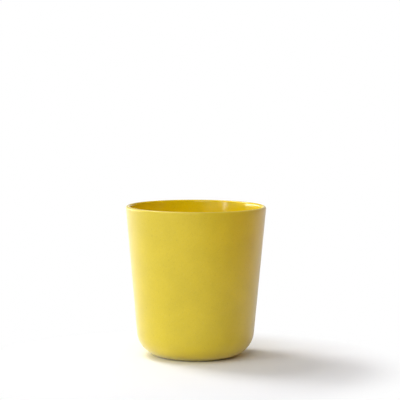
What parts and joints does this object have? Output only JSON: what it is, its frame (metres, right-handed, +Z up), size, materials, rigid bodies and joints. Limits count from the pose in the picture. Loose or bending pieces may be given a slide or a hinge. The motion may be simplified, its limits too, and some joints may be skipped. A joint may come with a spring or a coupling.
{
  "type": "cup",
  "caption": "Handleless tapered drinking cup pressed from bamboo fibre and resin, satin yellow outside, with a rounded base, a full-round lip and a glossy glazed inside.",
  "frame": {"origin": "centre of the foot, on the surface that the cup stands on", "axes": "+Z up along the cup's axis of revolution; X and Y level, free about that axis"},
  "size_m": [0.08, 0.08, 0.086],
  "materials": {
    "shell": "satin pressed bamboo fibre and resin, faintly flecked",
    "glaze": "gloss resin glaze over the same fibre"
  },
  "bodies": {
    "root": {"cup_body": "shell", "inner_glaze": "glaze"}
  },
  "joints": []
}
